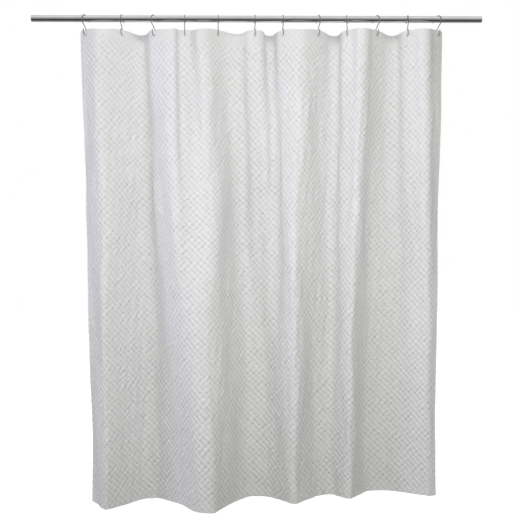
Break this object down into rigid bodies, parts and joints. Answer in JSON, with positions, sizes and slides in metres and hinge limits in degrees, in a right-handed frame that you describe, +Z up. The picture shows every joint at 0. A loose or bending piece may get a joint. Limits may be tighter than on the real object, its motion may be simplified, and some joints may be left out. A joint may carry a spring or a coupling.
{
  "type": "shower curtain",
  "caption": "Waffle-weave fabric shower curtain that hangs in folds from wire S-hooks on a straight chrome rod and draws to one side.",
  "frame": {"origin": "on the rod's axis, at the middle of its length", "axes": "+X along the rod to the viewer's right, +Y to the back (the tub side), +Z up; the curtain hangs down -Z and its front faces -Y"},
  "size_m": [1.75, 0.2424, 1.8881],
  "materials": {
    "chrome": "polished",
    "fabric": "white cotton waffle weave, matt",
    "thread": "white sewing thread"
  },
  "bodies": {
    "rod": {"rod_tube": "chrome"},
    "section_01": {"hook_01": "chrome", "cloth_panel_01": "fabric", "header_band_01": "fabric", "buttonhole_stitching_01": "thread", "left_side_hem": "fabric"},
    "section_02": {"hook_02": "chrome", "cloth_panel_02": "fabric", "header_band_02": "fabric", "buttonhole_stitching_02": "thread"},
    "section_03": {"hook_03": "chrome", "cloth_panel_03": "fabric", "header_band_03": "fabric", "buttonhole_stitching_03": "thread"},
    "section_04": {"hook_04": "chrome", "cloth_panel_04": "fabric", "header_band_04": "fabric", "buttonhole_stitching_04": "thread"},
    "section_05": {"hook_05": "chrome", "cloth_panel_05": "fabric", "header_band_05": "fabric", "buttonhole_stitching_05": "thread"},
    "section_06": {"hook_06": "chrome", "cloth_panel_06": "fabric", "header_band_06": "fabric", "buttonhole_stitching_06": "thread"},
    "section_07": {"hook_07": "chrome", "cloth_panel_07": "fabric", "header_band_07": "fabric", "buttonhole_stitching_07": "thread"},
    "section_08": {"hook_08": "chrome", "cloth_panel_08": "fabric", "header_band_08": "fabric", "buttonhole_stitching_08": "thread"},
    "section_09": {"hook_09": "chrome", "cloth_panel_09": "fabric", "header_band_09": "fabric", "buttonhole_stitching_09": "thread"},
    "section_10": {"hook_10": "chrome", "cloth_panel_10": "fabric", "header_band_10": "fabric", "buttonhole_stitching_10": "thread"},
    "section_11": {"hook_11": "chrome", "cloth_panel_11": "fabric", "header_band_11": "fabric", "buttonhole_stitching_11": "thread"},
    "section_12": {"hook_12": "chrome", "cloth_panel_12": "fabric", "header_band_12": "fabric", "buttonhole_stitching_12": "thread", "right_side_hem": "fabric"}
  },
  "joints": [
    {"name": "curtain_swing", "type": "hinge", "parent": "rod", "child": "section_01", "pos_m": [-0.67, 0, 0], "axis": [1, 0, 0], "range_deg": [-25, 25]},
    {"name": "hook_02_slide", "type": "slide", "parent": "section_01", "child": "section_02", "axis": [-1, 0, 0], "range_m": [0, 0.0984], "deforming": ["cloth_panel_02", "header_band_02"]},
    {"name": "hook_03_slide", "type": "slide", "parent": "section_01", "child": "section_03", "axis": [-1, 0, 0], "range_m": [0, 0.1853], "deforming": ["cloth_panel_03", "header_band_03"]},
    {"name": "hook_04_slide", "type": "slide", "parent": "section_01", "child": "section_04", "axis": [-1, 0, 0], "range_m": [0, 0.2686], "deforming": ["cloth_panel_04", "header_band_04"]},
    {"name": "hook_05_slide", "type": "slide", "parent": "section_01", "child": "section_05", "axis": [-1, 0, 0], "range_m": [0, 0.359], "deforming": ["cloth_panel_05", "header_band_05"]},
    {"name": "hook_06_slide", "type": "slide", "parent": "section_01", "child": "section_06", "axis": [-1, 0, 0], "range_m": [0, 0.4593], "deforming": ["cloth_panel_06", "header_band_06"]},
    {"name": "hook_07_slide", "type": "slide", "parent": "section_01", "child": "section_07", "axis": [-1, 0, 0], "range_m": [0, 0.5358], "deforming": ["cloth_panel_07", "header_band_07"]},
    {"name": "hook_08_slide", "type": "slide", "parent": "section_01", "child": "section_08", "axis": [-1, 0, 0], "range_m": [0, 0.6327], "deforming": ["cloth_panel_08", "header_band_08"]},
    {"name": "hook_09_slide", "type": "slide", "parent": "section_01", "child": "section_09", "axis": [-1, 0, 0], "range_m": [0, 0.7118], "deforming": ["cloth_panel_09", "header_band_09"]},
    {"name": "hook_10_slide", "type": "slide", "parent": "section_01", "child": "section_10", "axis": [-1, 0, 0], "range_m": [0, 0.7924], "deforming": ["cloth_panel_10", "header_band_10"]},
    {"name": "hook_11_slide", "type": "slide", "parent": "section_01", "child": "section_11", "axis": [-1, 0, 0], "range_m": [0, 0.8779], "deforming": ["cloth_panel_11", "header_band_11"]},
    {"name": "draw", "type": "slide", "parent": "section_01", "child": "section_12", "axis": [-1, 0, 0], "range_m": [0, 0.9611], "deforming": ["cloth_panel_01", "header_band_01", "left_side_hem", "cloth_panel_12", "header_band_12", "right_side_hem"]}
  ],
  "couplings": [
    {"joint": "hook_02_slide", "follows": "draw", "ratio": 0.10225},
    {"joint": "hook_03_slide", "follows": "draw", "ratio": 0.19261},
    {"joint": "hook_04_slide", "follows": "draw", "ratio": 0.27933},
    {"joint": "hook_05_slide", "follows": "draw", "ratio": 0.37334},
    {"joint": "hook_06_slide", "follows": "draw", "ratio": 0.4777},
    {"joint": "hook_07_slide", "follows": "draw", "ratio": 0.55736},
    {"joint": "hook_08_slide", "follows": "draw", "ratio": 0.6582},
    {"joint": "hook_09_slide", "follows": "draw", "ratio": 0.74044},
    {"joint": "hook_10_slide", "follows": "draw", "ratio": 0.82433},
    {"joint": "hook_11_slide", "follows": "draw", "ratio": 0.91328}
  ]
}
